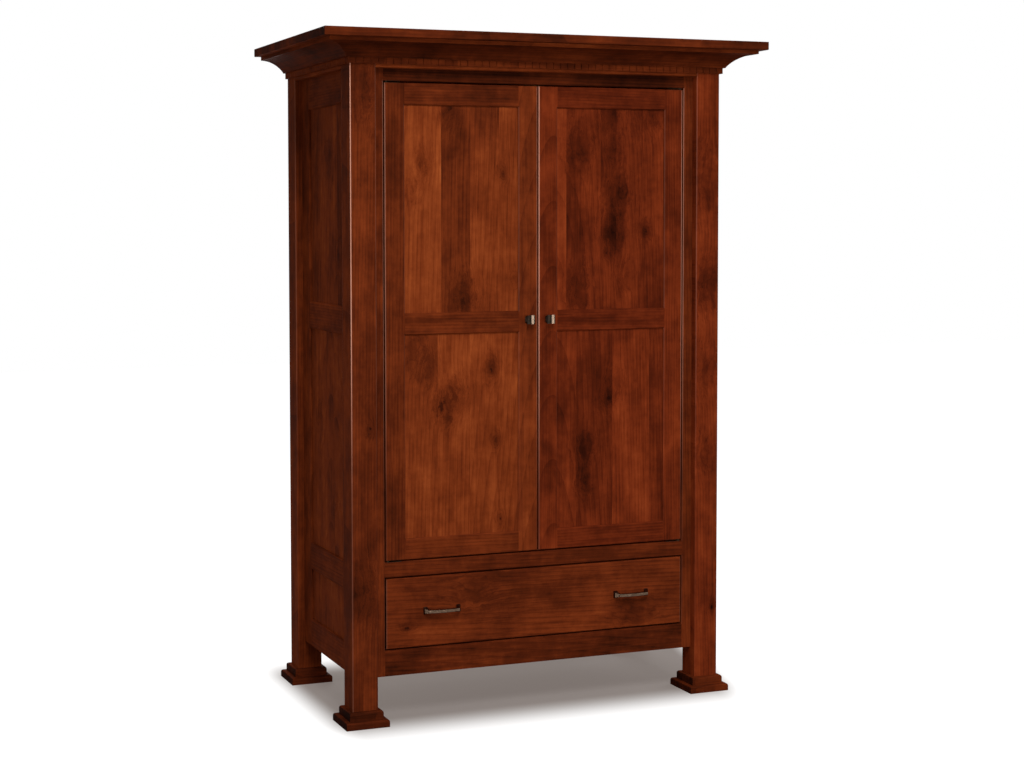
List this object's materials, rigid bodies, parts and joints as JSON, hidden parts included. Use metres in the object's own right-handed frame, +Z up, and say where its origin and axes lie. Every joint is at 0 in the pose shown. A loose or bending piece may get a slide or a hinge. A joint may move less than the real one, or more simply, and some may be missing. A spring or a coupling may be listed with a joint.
{
  "type": "armoire",
  "caption": "Wooden armoire with paired panelled doors over a wide drawer, square posts on stepped feet and a cove crown with dentil trim; holds hanging and folded clothes.",
  "frame": {"origin": "on the floor, under the middle of the bounding box", "axes": "+X to the right seen from the front, +Y to the back, +Z up; doors and drawer face -Y"},
  "size_m": [1.375, 0.7376, 1.95],
  "materials": {
    "frame_wood": "dark red-brown stain under satin lacquer",
    "foot_wood": "dark red-brown stain under satin lacquer",
    "panel_wood": "dark red-brown stain under satin lacquer, knotty boards",
    "crown_wood": "dark red-brown stain under satin lacquer",
    "drawer_face_wood": "dark red-brown stain under satin lacquer",
    "inner_wood": "clear satin lacquer",
    "rod_wood": "clear satin lacquer",
    "dark_pewter": "antique pewter, satin",
    "steel": "zinc-plated",
    "hinge_brass": "dark oil-rubbed"
  },
  "bodies": {
    "case": {"back_panels": "inner_wood", "back_rails": "inner_wood", "bottom_board": "inner_wood", "bottom_rail": "frame_wood", "case_hinge_leaves": "hinge_brass", "case_hinge_screws": "hinge_brass", "catch_magnets": "steel", "cleats": "inner_wood", "clothes_rod": "rod_wood", "crown_cove": "crown_wood", "crown_dentil": "crown_wood", "door_catch": "inner_wood", "face_stiles": "frame_wood", "foot_back_left": "foot_wood", "foot_back_right": "foot_wood", "foot_front_left": "foot_wood", "foot_front_right": "foot_wood", "frieze": "frame_wood", "hat_shelf": "inner_wood", "header_rail": "frame_wood", "mid_rail": "frame_wood", "post_back_left": "frame_wood", "post_back_right": "frame_wood", "post_front_left": "frame_wood", "post_front_right": "frame_wood", "rod_sockets": "hinge_brass", "side_left_panels": "panel_wood", "side_left_rails": "frame_wood", "side_left_stiles": "frame_wood", "side_right_panels": "panel_wood", "side_right_rails": "frame_wood", "side_right_stiles": "frame_wood", "slide_blocks": "inner_wood", "slide_outer": "steel", "top_board": "crown_wood", "wardrobe_floor": "inner_wood"},
    "door_left": {"door_left_hinge_leaves": "hinge_brass", "door_left_hinge_screws": "hinge_brass", "door_left_knob": "dark_pewter", "door_left_knob_screw": "steel", "door_left_panels": "panel_wood", "door_left_rails": "frame_wood", "door_left_stiles": "frame_wood", "door_left_strike": "steel"},
    "door_right": {"door_right_hinge_leaves": "hinge_brass", "door_right_hinge_screws": "hinge_brass", "door_right_knob": "dark_pewter", "door_right_knob_screw": "steel", "door_right_panels": "panel_wood", "door_right_rails": "frame_wood", "door_right_stiles": "frame_wood", "door_right_strike": "steel"},
    "drawer": {"drawer_back": "inner_wood", "drawer_bottom": "inner_wood", "drawer_front": "drawer_face_wood", "drawer_pulls": "dark_pewter", "drawer_sides": "inner_wood", "pull_screws": "steel", "slide_inner": "steel"},
    "slide_middle": {"slide_middle": "steel"}
  },
  "joints": [
    {"name": "door_left_hinge", "type": "hinge", "parent": "case", "child": "door_left", "pos_m": [-0.4663, -0.23175, 0.461], "axis": [0, 0, -1], "range_deg": [0, 105]},
    {"name": "door_right_hinge", "type": "hinge", "parent": "case", "child": "door_right", "pos_m": [0.4663, -0.23175, 0.461], "axis": [0, 0, 1], "range_deg": [0, 105]},
    {"name": "drawer_slide", "type": "slide", "parent": "case", "child": "drawer", "axis": [0, -1, 0], "range_m": [0, 0.4]},
    {"name": "slide_middle_slide", "type": "slide", "parent": "case", "child": "slide_middle", "axis": [0, -1, 0], "range_m": [0, 0.2]}
  ],
  "couplings": [
    {"joint": "slide_middle_slide", "follows": "drawer_slide", "ratio": 0.5}
  ]
}
